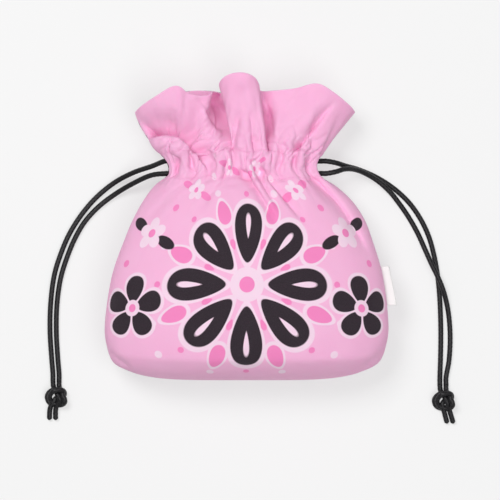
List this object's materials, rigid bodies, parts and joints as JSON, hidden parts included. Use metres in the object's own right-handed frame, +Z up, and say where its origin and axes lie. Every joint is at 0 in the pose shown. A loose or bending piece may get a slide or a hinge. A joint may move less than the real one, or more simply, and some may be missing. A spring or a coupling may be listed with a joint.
{
  "type": "drawstring pouch",
  "caption": "Small cotton drawstring pouch lying on its back: filled-out body with a boxed base, gathered casing, ruffled mouth and knotted black drawcords.",
  "frame": {"origin": "on the floor under the middle of the pouch, at the flat of the back panel that it lies on", "axes": "+X to the right of the front, +Y towards the mouth, +Z up out of the front"},
  "size_m": [0.2334, 0.1981, 0.0556],
  "materials": {
    "front_cotton": "matt plain-weave cotton, pink with a printed folk flower",
    "back_cotton": "matt plain-weave cotton, pink with a small repeating print",
    "casing_cotton": "matt plain-weave cotton, unprinted",
    "ribbon": "white woven ribbon, bare",
    "braid": "black waxed braid with a soft sheen"
  },
  "bodies": {
    "root": {"front_panel": "front_cotton", "back_panel": "back_cotton", "front_casing": "casing_cotton", "back_casing": "casing_cotton", "side_label": "ribbon", "left_cord_loop": "braid", "left_cord_upper": "braid", "left_cord_lower": "braid", "left_knot": "braid", "right_cord_loop": "braid", "right_cord_upper": "braid", "right_cord_lower": "braid", "right_knot": "braid"}
  },
  "joints": []
}
